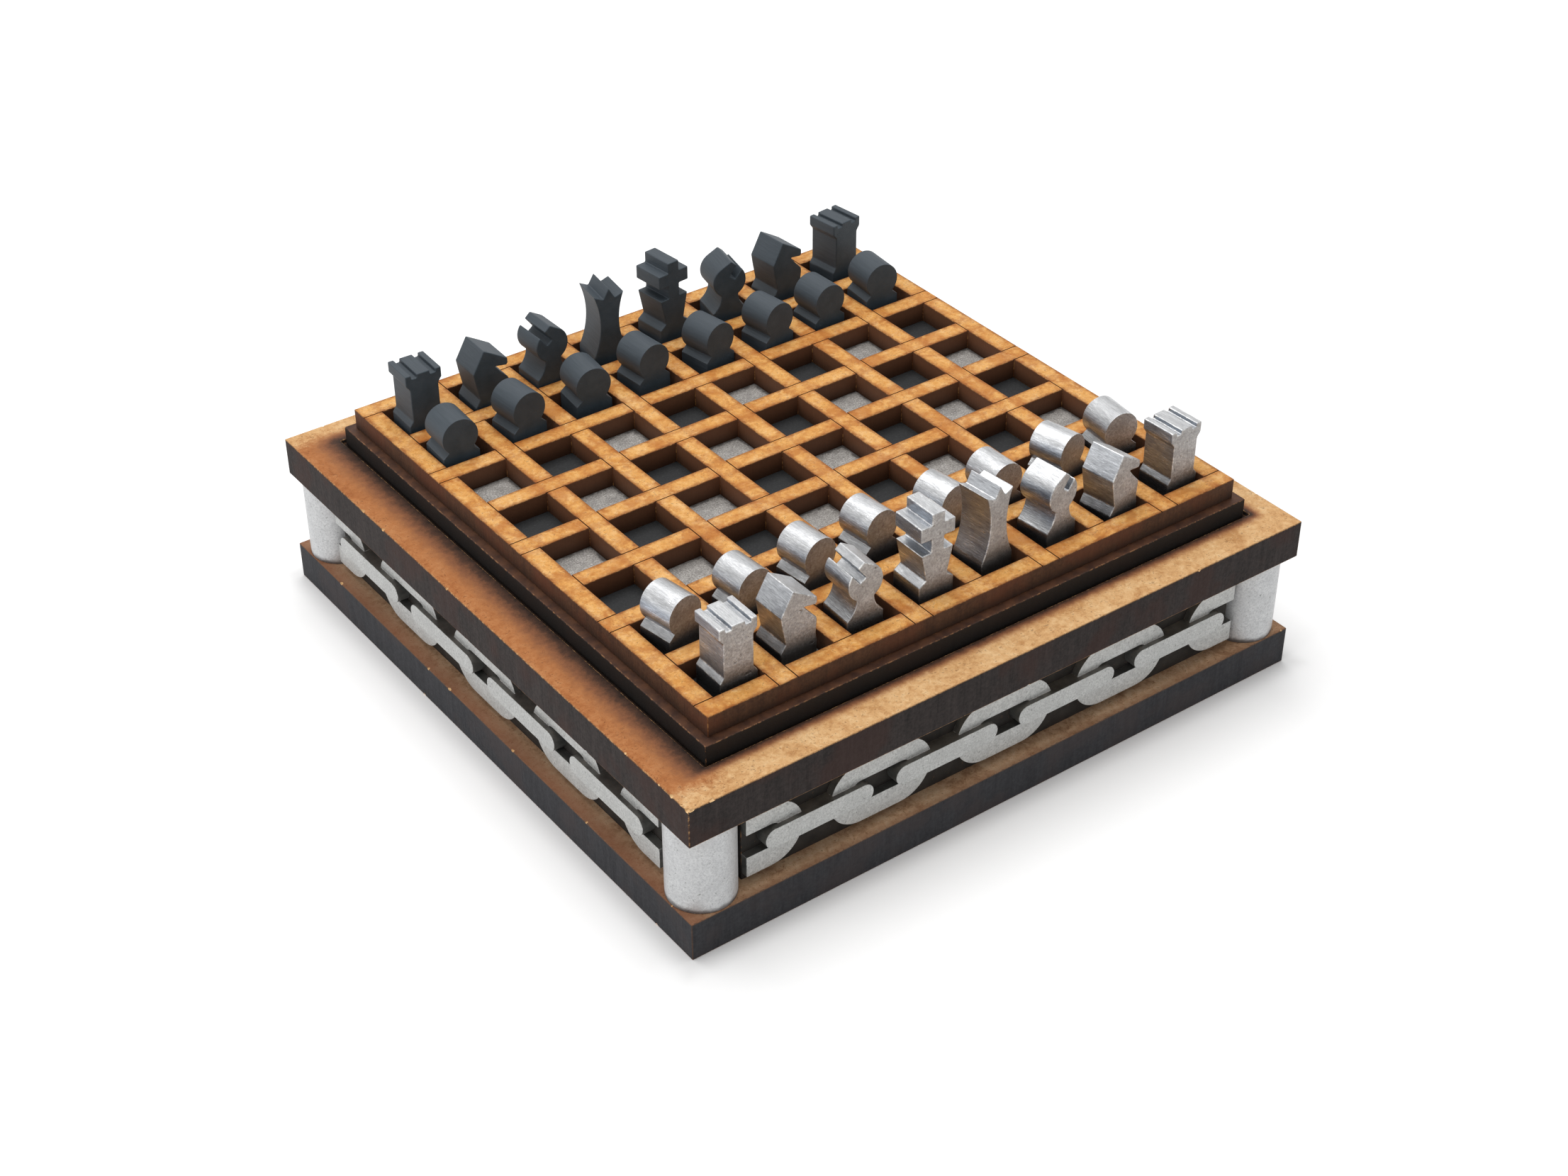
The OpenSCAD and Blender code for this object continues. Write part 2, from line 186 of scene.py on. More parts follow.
# Colours of silver paint: dark, middle and light
CHAIN_SILVER = ("abacaa", "c6c7c5", "d8d9d6")
COLUMN_SILVER = ("bcbdbe", "d2d3d4", "dfe0e0")
PIECE_SILVER = ("908f90", "acabaa", "c6c5c4")

# How each kind of part is worked: the record's slot, the width of its rounded arrises in
# millimetres, and the word that its pieces' names end in
Work = namedtuple("Work", "slot arris ending")
WORKS = {
    "top_plate": Work("plate_wood", 0.14, "board"),
    "base_plate": Work("plate_wood", 0.14, "board"),
    "lattice": Work("lattice_wood", 0.1, "scored"),
    "board_floor": Work("black_floor", 0.12, "painted"),
    "column": Work("silver_paint", 0.12, "dowel"),
    "chain": Work("silver_paint", 0.12, "relief"),
    "panel": Work("charred_panel", 0.1, "board"),
    "inner": Work("inner_wood", 0.1, "board"),
    "silver_piece": Work("silver_piece", 0.16, "painted"),
    "black_piece": Work("black_piece", 0.16, "painted"),
}


# Colours and sums in node trees

def tone(code):
    """A colour from its six-digit code, as light and not as it is coded."""
    parts = [int(code[i:i + 2], 16) / 255 for i in (0, 2, 4)]
    return [*(c / 12.92 if c <= 0.04045 else ((c + 0.055) / 1.055) ** 2.4 for c in parts), 1]


def feed(tree, socket, value):
    """Links a value that varies over the surface, or sets one that is the same all over."""
    if isinstance(value, bpy.types.NodeSocket):
        tree.links.new(value, socket)
    else:
        socket.default_value = value


def add(tree, kind, inputs=(), **settings):
    """A new node with its settings made and its inputs fed."""
    made = tree.nodes.new("ShaderNode" + kind)
    for name, value in settings.items():
        setattr(made, name, value)
    for name, value in dict(inputs).items():
        feed(tree, made.inputs[name], value)
    return made


def calc(tree, operation, a, b=0.0):
    return add(tree, "Math", {0: a, 1: b}, operation=operation).outputs[0]


def plus(tree, a, b):
    return calc(tree, "ADD", a, b)


def minus(tree, a, b):
    return calc(tree, "SUBTRACT", a, b)


def times(tree, a, b):
    return calc(tree, "MULTIPLY", a, b)


def larger(tree, a, b):
    return calc(tree, "MAXIMUM", a, b)


def unsigned(tree, a):
    return calc(tree, "ABSOLUTE", a)


def raised(tree, value, by, amount):
    """The value, with so many times another added to it."""
    return plus(tree, value, times(tree, by, amount))


def ragged(tree, value, blotches, amount):
    """The value, moved up and down by blotches that run from 0 to 1."""
    return raised(tree, value, minus(tree, blotches, 0.5), amount)


def weighed(tree, *parts):
    """The sum of the values, each times its weight."""
    total = None
    for value, weight in parts:
        part = times(tree, value, weight)
        total = part if total is None else plus(tree, total, part)
    return total


def between(tree, share, first, second):
    """A value that goes from the first to the second as the share says."""
    return add(tree, "Mix", {0: share, 2: first, 3: second}).outputs[0]


def ease(tree, value, low, high, start=0.0, end=1.0):
    """The value as it goes from low to high, turned smoothly into start to end."""
    made = add(tree, "MapRange", {"Value": value, "From Min": low, "From Max": high,
                                  "To Min": start, "To Max": end},
               interpolation_type="SMOOTHSTEP")
    return made.outputs[0]


def split(tree, vector):
    return add(tree, "SeparateXYZ", {0: vector}).outputs


def scaled(tree, vector, factor):
    return add(tree, "VectorMath", {0: vector, "Scale": factor}, operation="SCALE").outputs[0]


def stretch(tree, place, across, along, up):
    """The place, scaled along each axis by a value of its own."""
    return add(tree, "VectorMath", {0: place, 1: (across, along, up)},
               operation="MULTIPLY").outputs[0]


def cloud(tree, place, scale, detail, rough, bend=0.0):
    """Soft noise from 0 to 1, with so many blotches a millimetre."""
    made = add(tree, "TexNoise", {"Vector": place, "Scale": scale, "Detail": detail,
                                  "Roughness": rough, "Distortion": bend})
    return made.outputs[0]


def blend(tree, share, first, second, how="MIX"):
    made = add(tree, "Mix", {0: share, 6: first, 7: second}, data_type="RGBA", blend_type=how)
    return made.outputs[2]


def tint(tree, mask, colour, code, share=1.0):
    """The colour, turned towards a tone by a share of what the mask says."""
    if share != 1.0:
        mask = times(tree, mask, share)
    return blend(tree, mask, colour, tone(code))


def filtered(tree, colour, code):
    """The colour as it looks through a thin coat of a tone."""
    return blend(tree, 1.0, colour, tone(code), "MULTIPLY")


def shades(tree, value, stops):
    """Colours along a value, each stop a place and a colour code."""
    made = add(tree, "ValToRGB", {0: value})
    band = made.color_ramp
    while len(band.elements) < len(stops):
        band.elements.new(0.5)
    for element, (place, code) in zip(band.elements, stops):
        element.position = place
        element.color = tone(code)
    return made.outputs[0]


def three_tones(tree, value, tones):
    """Dark, middle and light, over the middle quarter of a noise."""
    dark, middle, light = tones
    return shades(tree, value, [(0.38, dark), (0.5, middle), (0.62, light)])


# Effects that several finishes share

def effect(name, inputs, build):
    """A node group with a place in millimetres and named values going in."""
    tree = bpy.data.node_groups.new(name, "ShaderNodeTree")
    tree.interface.new_socket(name="Place", in_out="INPUT", socket_type="NodeSocketVector")
    for label, value in inputs.items():
        socket = tree.interface.new_socket(name=label, in_out="INPUT",
                                           socket_type="NodeSocketFloat")
        socket.default_value = value
    entry = tree.nodes.new("NodeGroupInput").outputs
    results = build(tree, entry)
    leaving = tree.nodes.new("NodeGroupOutput")
    for label, value in results.items():
        tree.interface.new_socket(name=label, in_out="OUTPUT", socket_type="NodeSocketFloat")
        tree.links.new(value, leaving.inputs[label])
    return tree


def fibre_nodes(tree, entry):
    """Pressed fibre: flaky mottling, short dark fibres, specks and a felted surface."""
    grown = scaled(tree, entry["Place"], entry["Size"])
    broad = cloud(tree, grown, scale=0.2, detail=3, rough=0.6, bend=0.6)
    flaky = cloud(tree, grown, scale=1.2, detail=5, rough=0.75, bend=0.5)
    fibres = []
    for across, along in ((0.9, 4.2), (4.2, 0.9)):
        lying = stretch(tree, grown, across, along, 4)
        thread = cloud(tree, lying, scale=1.0, detail=2, rough=0.6, bend=1.4)
        fibres.append(ease(tree, thread, 0.6, 0.72))
    specks = ease(tree, cloud(tree, grown, scale=2.4, detail=2, rough=0.5), 0.63, 0.7)
    dark = larger(tree, times(tree, larger(tree, *fibres), 0.6), specks)
    return {"Mottle": weighed(tree, (broad, 0.4), (flaky, 0.6)),
            "Fibres": dark, "Height": raised(tree, flaky, dark, -0.35)}


def burn_nodes(tree, entry):
    """Upright streaks that the cutting beam leaves on an edge, and soot in clouds."""
    place = entry["Place"]
    wide = cloud(tree, stretch(tree, place, 0.9, 0.9, 0.12), scale=1.0, detail=3, rough=0.55)
    thin = cloud(tree, stretch(tree, place, 4.2, 4.2, 0.2), scale=1.0, detail=3, rough=0.6)
    felt = cloud(tree, place, scale=2.2, detail=4, rough=0.7)
    soot = cloud(tree, place, scale=0.11, detail=3, rough=0.55)
    return {"Streak": weighed(tree, (wide, 0.3), (thin, 0.2), (felt, 0.5)),
            "Soot": soot, "Height": plus(tree, thin, felt)}


def wear_and_glint_nodes(tree, entry):
    """Patches along an arris, broken up along its length: rubbed or chipped on boards, and
    painted highlights on silver paint.
    """
    noted = add(tree, "Attribute", attribute_name="arris").outputs["Fac"]
    arris = ease(tree, noted, 0.3, 0.8)
    patches = cloud(tree, entry["Place"], scale=entry["Pitch"], detail=4, rough=0.7)
    broken = ease(tree, patches, 0.48, 0.62)
    return {"Arris": arris, "WornAndGlint": times(tree, arris, broken)}


def fleck_nodes(tree, entry):
    """Sprayed paint on fibre: a fine grain, small dark pits and a soft unevenness."""
    place = entry["Place"]
    grain = cloud(tree, place, scale=3.4, detail=5, rough=0.8)
    spots = cloud(tree, place, scale=entry["Pits"], detail=2, rough=0.55, bend=0.4)
    pits = ease(tree, spots, 0.655, 0.73)
    cloudy = cloud(tree, place, scale=0.55, detail=3, rough=0.5)
    return {"Grain": grain, "Pits": pits, "Cloudy": cloudy,
            "Height": raised(tree, grain, pits, -0.6)}


EFFECTS = {
    "fibre": effect("pressed_fibre", {"Size": 1.0}, fibre_nodes),
    "burn": effect("burnt_cut", {}, burn_nodes),
    "wear_and_glint": effect("worn_and_glinting_arris", {"Pitch": 0.8}, wear_and_glint_nodes),
    "fleck": effect("flecked_paint", {"Pits": 2.4}, fleck_nodes),
}


def use(tree, name, place, **values):
    """One of the effects, placed in a material with its own values."""
    return add(tree, "Group", {"Place": place, **values}, node_tree=EFFECTS[name]).outputs


# Places and distances that the finishes read

def in_mm(tree):
    """The place on the object in millimetres."""
    return scaled(tree, add(tree, "TexCoord").outputs["Object"], 1 / MM)


def on_piece(tree):
    """The place on a chess piece in millimetres: across, front to back, up."""
    return add(tree, "Attribute", attribute_name="own_mm").outputs["Vector"]


def cut_wall(tree):
    """1 on walls that the cutter left, 0 on the faces of the sheet."""
    noted = add(tree, "Attribute", attribute_name="cut_wall").outputs["Fac"]
    return ease(tree, noted, 0.35, 0.75)


def from_board_middle(tree, place):
    """How far a point lies from the board's middle, across or along, whichever is more."""
    x, y, _ = split(tree, place)
    return larger(tree, unsigned(tree, minus(tree, x, BOARD_X)),
                  unsigned(tree, minus(tree, y, BOARD_Y)))


def from_nearest(tree, place, shift):
    """How far a point lies from the nearest strip's or cell's middle, each way."""
    x, y, _ = split(tree, place)
    found = []
    for value, middle in ((x, BOARD_X), (y, BOARD_Y)):
        # Ten pitches more keep the value above nought over the whole board
        moved = plus(tree, value, PITCH * 10 + shift - middle)
        within = calc(tree, "MODULO", moved, PITCH)
        found.append(unsigned(tree, minus(tree, within, PITCH / 2)))
    return found


def depth_in_strip(tree, place):
    """How deep in a strip a point of the lattice lies, from its cut walls."""
    off_x, off_y = from_nearest(tree, place, TO_STRIPS)
    return larger(tree, minus(tree, STRIP / 2, off_x), minus(tree, STRIP / 2, off_y))


def from_crossing(tree, place):
    """How far a point of the lattice lies from the nearest crossing's middle."""
    return larger(tree, *from_nearest(tree, place, TO_STRIPS))


def from_pocket(tree, place, left, right, front, back):
    """How far outside the board's pocket a point lies, in parts of each side's reach."""
    x, y, _ = split(tree, place)
    squares = []
    for value, middle, under, over in ((x, BOARD_X, left, right), (y, BOARD_Y, front, back)):
        low = calc(tree, "DIVIDE", minus(tree, middle - POCKET / 2, value), under)
        high = calc(tree, "DIVIDE", minus(tree, value, middle + POCKET / 2), over)
        out = larger(tree, larger(tree, low, high), 0.0)
        squares.append(calc(tree, "POWER", out, 2.0))
    return calc(tree, "SQRT", plus(tree, *squares))


# Finishes: each gives what goes into the shader's sockets, and its bump in millimetres

def empty_tree(owner):
    """The node tree of a material or world, with nothing in it yet."""
    owner.use_nodes = True
    owner.node_tree.nodes.clear()
    return owner.node_tree


def finish(name, build):
    """A material from the colour, roughness and so on that build gives."""
    made = bpy.data.materials.new(name)
    tree = empty_tree(made)
    surface = add(tree, "BsdfPrincipled")
    looks = build(tree)
    bump = add(tree, "Bump", {"Height": looks.pop("Height"), "Strength": 1.0,
                              "Distance": looks.pop("Depth") * MM})
    tree.links.new(bump.outputs[0], surface.inputs["Normal"])
    for label, value in looks.items():
        feed(tree, surface.inputs[label], value)
    add(tree, "OutputMaterial", {0: surface.outputs[0]})
    return made


def board_face(tree, place, tones, size=1.0):
    """Pressed fibreboard in three tones, with dark fibres in it."""
    fibre = use(tree, "fibre", place, Size=size)
    face = three_tones(tree, fibre["Mottle"], tones)
    return tint(tree, fibre["Fibres"], face, "7a4f2e", 0.5), fibre


def burnt_edge(tree, place, tones):
    """A laser-cut edge: near black, faintly streaked upright, reddish in places."""
    dark, light, blush = tones
    burn = use(tree, "burn", place)
    edge = shades(tree, burn["Streak"], [(0.38, dark), (0.62, light)])
    return tint(tree, ease(tree, burn["Soot"], 0.46, 0.62, 0.0, 0.55), edge, blush), burn


def board_looks(tree, place, face, fibre, edge_tones, rubbed="cf9f6c"):
    """The face of a board, its burnt edges and its rubbed arrises together."""
    edge, burn = burnt_edge(tree, place, edge_tones)
    cut = cut_wall(tree)
    wear_and_glint = use(tree, "wear_and_glint", place, Pitch=2.2)
    colour = blend(tree, cut, face, edge)
    colour = tint(tree, wear_and_glint["Arris"], colour, "7d583c", 0.25)
    colour = tint(tree, wear_and_glint["WornAndGlint"], colour, rubbed, 0.7)
    return {"Base Color": colour, "Roughness": ease(tree, cut, 0, 1, 0.6, 0.72),
            "Height": between(tree, cut, fibre["Height"], burn["Height"]), "Depth": 0.05,
            "Specular IOR Level": 0.15}


def top_plate_looks(tree):
    """Warm board, smoked along its left side and scorched round the board's pocket."""
    place = in_mm(tree)
    x, y, _ = split(tree, place)
    face, fibre = board_face(tree, place, TOP_FACE)
    blotch = times(tree, fibre["Mottle"], 6.0)
    left = ease(tree, plus(tree, x, blotch), *TOP_SMOKE_ACROSS)
    short_of_corners = ease(tree, plus(tree, unsigned(tree, y), blotch), *TOP_SMOKE_ALONG)
    smoked = times(tree, left, short_of_corners)
    face = blend(tree, smoked, face, filtered(tree, face, "d2ad96"))
    away = from_pocket(tree, place, *SCORCH_REACH)
    away = ragged(tree, away, cloud(tree, place, scale=0.8, detail=5, rough=0.75), 0.5)
    scorch = shades(tree, away, [(0.0, "20150f"), (0.2, "4b3225"), (0.45, "85563a"),
                                 (0.8, "a86f45")])
    face = blend(tree, ease(tree, away, 1.05, 0.4), face, scorch)
    return board_looks(tree, place, face, fibre, TOP_EDGE)


def base_plate_looks(tree):
    """Duller board, browned along its rim and more so on the left."""
    place = in_mm(tree)
    x, y, _ = split(tree, place)
    face, fibre = board_face(tree, place, BASE_FACE)
    out = raised(tree, larger(tree, unsigned(tree, x), unsigned(tree, y)), fibre["Mottle"], 1.2)
    face = tint(tree, ease(tree, out, *BASE_RIM_SMOKE, 0.0, 0.5), face, "7c5138")
    left = raised(tree, x, fibre["Mottle"], -1.5)
    face = tint(tree, ease(tree, left, *BASE_LEFT_SMOKE, 0.0, 0.7), face, "86573f")
    return board_looks(tree, place, face, fibre, BASE_EDGE, rubbed="5f4c40")


def inner_looks(tree):
    """Bare fibreboard with burnt cuts, inside the box and the drawers."""
    place = in_mm(tree)
    face, fibre = board_face(tree, place, INNER_FACE)
    return board_looks(tree, place, face, fibre, INNER_EDGE)


def fresh_chip_looks(tree):
    """The pale fibre inside a board, where a chip has come off."""
    face, fibre = board_face(tree, in_mm(tree), FRESH_FACE, size=1.5)
    return {"Base Color": face, "Roughness": 0.75, "Height": fibre["Height"], "Depth": 0.05}


def smoked_lattice_face(tree, place):
    """Golden board under brown smoke: in clouds, round the crossings and by each cut."""
    face, fibre = board_face(tree, place, LATTICE_FACE, size=1.25)
    smoke = cloud(tree, place, scale=0.17, detail=4, rough=0.6, bend=0.8)
    face = tint(tree, ease(tree, smoke, 0.47, 0.64, 0.0, 0.7), face, "bb7230")
    smudges = cloud(tree, place, scale=0.6, detail=5, rough=0.7, bend=0.3)
    face = tint(tree, ease(tree, smudges, 0.46, 0.7, 0.0, 0.45), face, "b0621f")
    uneven = cloud(tree, place, scale=1.3, detail=4, rough=0.65)
    out = raised(tree, from_crossing(tree, place), uneven, 5.0)
    off_ring = unsigned(tree, minus(tree, out, RING_RADIUS))
    face = tint(tree, ease(tree, off_ring, RING_BREADTH, 0.0, 0.0, 0.42), face, "ab6026")
    depth = ragged(tree, depth_in_strip(tree, place), uneven, 1.3)
    face = tint(tree, ease(tree, depth, CUT_SMOKE, 0.0, 0.0, 0.7), face, "8a4a1c")
    return face, fibre


def lattice_looks(tree):
    """The smoked lattice with its burnt walls and the dark floors of its score lines."""
    place = in_mm(tree)
    z = split(tree, place)[2]
    face, fibre = smoked_lattice_face(tree, place)
    wall, burn = burnt_edge(tree, place, LATTICE_WALL)
    # Painted bounce light: walls inside the cells lightened, the lattice's outer walls not
    inner_wall_bounce = ease(tree, from_board_middle(tree, place), HALF_LATTICE - 0.3, HALF_LATTICE - 0.6)
    wall = tint(tree, inner_wall_bounce, wall, "7a523a", 0.7)
    # Painted shade: the walls darken down towards the cells' floors
    start, full = (TOP_OF_LATTICE - down for down in WALL_SHADE)
    wall = tint(tree, ease(tree, z, start, full, 0.0, 0.7), wall, "1f140e")
    cut = cut_wall(tree)
    colour = blend(tree, cut, face, wall)
    # The floors of the score lines are the flat faces a little under the top
    under_top = ease(tree, z, TOP_OF_LATTICE - 0.03, TOP_OF_LATTICE - 0.07)
    not_deeper = ease(tree, z, TOP_OF_LATTICE - 0.3, TOP_OF_LATTICE - 0.25)
    scored = times(tree, times(tree, under_top, not_deeper), minus(tree, 1.0, cut))
    colour = tint(tree, scored, colour, "2c180d")
    wear_and_glint = use(tree, "wear_and_glint", place, Pitch=1.2)
    colour = tint(tree, wear_and_glint["Arris"], colour, "6b3c1c", 0.55)
    colour = tint(tree, wear_and_glint["WornAndGlint"], colour, "dba565", 0.4)
    return {"Base Color": colour, "Roughness": 0.56, "Specular IOR Level": 0.2,
            "Height": between(tree, cut, fibre["Height"], burn["Height"]), "Depth": 0.04}


def floor_looks(tree):
    """Dark paint in the cells, a brown ledge round the lattice and burnt sides."""
    place = in_mm(tree)
    fleck = use(tree, "fleck", place, Pits=3.0)
    paint = shades(tree, fleck["Grain"], [(0.3, "1f2021"), (0.55, "2b2c2d"), (0.75, "3f4142")])
    ledge = shades(tree, fleck["Cloudy"], [(0.35, "3a2216"), (0.65, "5a3925")])
    out = from_board_middle(tree, place)
    colour = blend(tree, ease(tree, out, HALF_LATTICE - 0.1, HALF_LATTICE), paint, ledge)
    side, _ = burnt_edge(tree, place, FLOOR_SIDE)
    colour = blend(tree, cut_wall(tree), colour, side)
    wear_and_glint = use(tree, "wear_and_glint", place, Pitch=1.4)
    colour = tint(tree, wear_and_glint["WornAndGlint"], colour, "a2744c", 0.6)
    return {"Base Color": colour, "Roughness": 0.6, "Specular IOR Level": 0.3,
            "Height": fleck["Height"], "Depth": 0.03}


def silver_square_looks(tree):
    """Coarse silver paint on a cell's floor, darkened towards its walls as painted shade."""
    place = in_mm(tree)
    grain = cloud(tree, place, scale=4.0, detail=5, rough=0.8)
    broad = cloud(tree, place, scale=0.7, detail=3, rough=0.6)
    mixed = weighed(tree, (grain, 0.8), (broad, 0.2))
    paint = shades(tree, mixed, [(0.36, "6a6764"), (0.5, "a09c97"), (0.64, "dcd9d5")])
    # Painted shade: the floor darkens in a narrow band along the cell's walls
    out = larger(tree, *from_nearest(tree, place, TO_CELLS))
    out = ragged(tree, out, broad, 2.0)
    colour = tint(tree, ease(tree, out, *CELL_EDGE_SHADE, 0.0, 0.85), paint, "3a3532")
    return {"Base Color": colour, "Metallic": 0.3, "Roughness": 0.46,
            "Height": grain, "Depth": 0.07}


def silver_spray(tree, place, tones):
    """Silver spray on fibreboard, uneven and pitted."""
    fleck = use(tree, "fleck", place, Pits=2.4)
    paint = three_tones(tree, fleck["Grain"], tones)
    paint = tint(tree, ease(tree, fleck["Cloudy"], 0.35, 0.65, 0.0, 0.3), paint, tones[0])
    return tint(tree, fleck["Pits"], paint, "6e6f6d", 0.6), fleck


def sprayed_looks(tree, place, colour, fleck):
    """What chains and columns share: arrises lit as painted highlights, and a soft metallic
    coat.
    """
    wear_and_glint = use(tree, "wear_and_glint", place, Pitch=1.5)
    # Painted highlight: broken patches along the arrises lightened towards near white
    colour = tint(tree, wear_and_glint["WornAndGlint"], colour, "e2e2e0", 0.5)
    return {"Base Color": colour, "Metallic": 0.3, "Roughness": 0.42,
            "Height": fleck["Height"], "Depth": 0.03}


def chain_looks(tree):
    """Silver spray on the chain's faces, thin and sooty on its cut walls."""
    place = in_mm(tree)
    paint, fleck = silver_spray(tree, place, CHAIN_SILVER)
    wall = shades(tree, fleck["Cloudy"], [(0.35, "3c3c39"), (0.65, "646460")])
    colour = blend(tree, times(tree, cut_wall(tree), 0.92), paint, wall)
    return sprayed_looks(tree, place, colour, fleck)


def column_looks(tree):
    """Silver spray on a dowel, darkened at its foot as painted contact shade."""
    place = in_mm(tree)
    z = split(tree, place)[2]
    paint, fleck = silver_spray(tree, place, COLUMN_SILVER)
    # Painted contact shade: a dark ring at the dowel's foot
    foot_shade = ease(tree, plus(tree, z, fleck["Cloudy"]), *COLUMN_FOOT_SHADE, 0.0, 0.85)
    return sprayed_looks(tree, place, tint(tree, foot_shade, paint, "453d3a"), fleck)


def panel_looks(tree):
    """Sooty dark board behind the chains."""
    place = in_mm(tree)
    fleck = use(tree, "fleck", place, Pits=1.6)
    face = shades(tree, fleck["Cloudy"], [(0.3, "282624"), (0.7, "3a3632")])
    face = tint(tree, fleck["Pits"], face, "5f4b3c", 0.4)
    wear_and_glint = use(tree, "wear_and_glint", place, Pitch=1.0)
    face = tint(tree, wear_and_glint["WornAndGlint"], face, "8f6a47", 0.6)
    return {"Base Color": face, "Roughness": 0.7, "Specular IOR Level": 0.2,
            "Height": fleck["Height"], "Depth": 0.04}


def silver_wall(tree, streak):
    """Bright paint on a piece's cut walls, with painted light: what faces up is lightened as a
    painted highlight, and upright walls are darkened and cooled as painted shade."""
    side = shades(tree, streak, [(0.34, "7f8082"), (0.5, "a9aaac"), (0.66, "d6d7d8")])
    upward = add(tree, "Attribute", attribute_name="faces_up").outputs["Fac"]
    # Painted light: upright walls take a cool painted shade, upward faces a painted highlight
    side = blend(tree, ease(tree, upward, 0.7, 0.1), side, filtered(tree, side, "e2ebf8"))
    return tint(tree, ease(tree, upward, 0.2, 0.9, 0.0, 0.2), side, "e8e8e8")


def silver_piece_looks(tree):
    """Bright silver paint: fine strokes along the cut, grain on the faces, painted highlights
    on the arrises and painted shade darkening the foot.
    """
    place = on_piece(tree)
    up = split(tree, place)[2]
    wide = cloud(tree, stretch(tree, place, 1.3, 0.25, 1.3),
                 scale=1.0, detail=4, rough=0.6, bend=0.3)
    thin = cloud(tree, stretch(tree, place, 5.5, 0.8, 5.5),
                 scale=1.0, detail=4, rough=0.7, bend=0.3)
    streak = weighed(tree, (wide, 0.4), (thin, 0.6))
    fleck = use(tree, "fleck", place, Pits=1.5)
    front = three_tones(tree, fleck["Grain"], PIECE_SILVER)
    front = tint(tree, ease(tree, fleck["Cloudy"], 0.35, 0.65, 0.0, 0.35), front, "85827f")
    front = tint(tree, fleck["Pits"], front, "6a635b", 0.6)
    cut = cut_wall(tree)
    colour = blend(tree, cut, front, silver_wall(tree, streak))
    wear_and_glint = use(tree, "wear_and_glint", place, Pitch=1.2)
    # Painted highlight: glints along the arrises, lightened towards near white
    colour = tint(tree, wear_and_glint["WornAndGlint"], colour, "ecebe8", 0.6)
    # Painted shade: the foot, down in its cell, darkened towards near black
    foot = ease(tree, raised(tree, up, fleck["Cloudy"], 1.5), *PIECE_FOOT_SHADE, 0.0, 0.85)
    colour = tint(tree, foot, colour, "3f3d3b")
    grainy = ease(tree, fleck["Grain"], 0.3, 0.7, 0.36, 0.48)
    stroked = ease(tree, streak, 0.35, 0.65, 0.38, 0.26)
    return {"Base Color": colour, "Metallic": ease(tree, cut, 0, 1, 0.85, 0.92),
            "Roughness": between(tree, cut, grainy, stroked),
            "Height": between(tree, cut, fleck["Height"], streak), "Depth": 0.07}


def black_piece_looks(tree):
    """Matte blue-black paint with the board's fibres faintly under it."""
    place = on_piece(tree)
    fleck = use(tree, "fleck", place, Pits=1.9)
    streak = cloud(tree, stretch(tree, place, 3.0, 0.25, 3.0), scale=1.0, detail=4, rough=0.6)
    front = shades(tree, fleck["Cloudy"], [(0.3, "313d45"), (0.7, "3e4951")])
    side = shades(tree, streak, [(0.3, "373f46"), (0.7, "40484f")])
    cut = cut_wall(tree)
    return {"Base Color": blend(tree, cut, front, side), "Roughness": 0.58,
            "Specular IOR Level": 0.42,
            "Height": between(tree, cut, fleck["Height"], streak), "Depth": 0.04}


FINISHES = {
    "fresh_chip": finish("fresh_fibre", fresh_chip_looks),
    "top_plate": finish("top_plate_board", top_plate_looks),
    "base_plate": finish("base_plate_board", base_plate_looks),
    "lattice": finish("lattice_board", lattice_looks),
    "board_floor": finish("board_floor_paint", floor_looks),
    "silver_square": finish("silver_square_paint", silver_square_looks),
    "chain": finish("chain_silver_spray", chain_looks),
    "column": finish("column_silver_spray", column_looks),
    "panel": finish("sooty_panel_board", panel_looks),
    "inner": finish("inner_board", inner_looks),
    "silver_piece": finish("silver_piece_paint", silver_piece_looks),
    "black_piece": finish("black_piece_paint", black_piece_looks),
}


# Ways of working a shape

def only(obj):
    """Selects this object alone and makes it the active one."""
    bpy.ops.object.select_all(action="DESELECT")
    bpy.context.view_layer.objects.active = obj
    obj.select_set(True)


def join(pieces, into):
    """Makes the pieces one object, the one that they go into."""
    only(into)
    for piece in pieces:
        piece.select_set(True)
    bpy.ops.object.join()
    return into


def apply_modifier(obj, kind, **settings):
    made = obj.modifiers.new(kind.lower(), kind)
    for name, value in settings.items():
        setattr(made, name, value)
    only(obj)
    bpy.ops.object.modifier_apply(modifier=made.name)


def cut_away(obj, cutter, **settings):
    """Takes a cutter out of a piece and throws the cutter away."""
    apply_modifier(obj, "BOOLEAN", operation="DIFFERENCE", solver="EXACT", object=cutter,
                   **settings)
    bpy.data.objects.remove(cutter)


def copy_of(node, name, close):
    """A clean copy of a node: close corners made one, and one face where it is flat."""
    obj = bpy.data.objects.new(name, frame["nodes"][node].data.copy())
    bpy.context.scene.collection.objects.link(obj)
    only(obj)
    bpy.ops.mesh.customdata_custom_splitnormals_clear()
    bpy.ops.object.mode_set(mode="EDIT")
    bpy.ops.mesh.select_all(action="SELECT")
    bpy.ops.mesh.remove_doubles(threshold=close * MM)
    bpy.ops.mesh.dissolve_limited(angle_limit=FLAT_ANGLE)
    bpy.ops.object.mode_set(mode="OBJECT")
    return obj


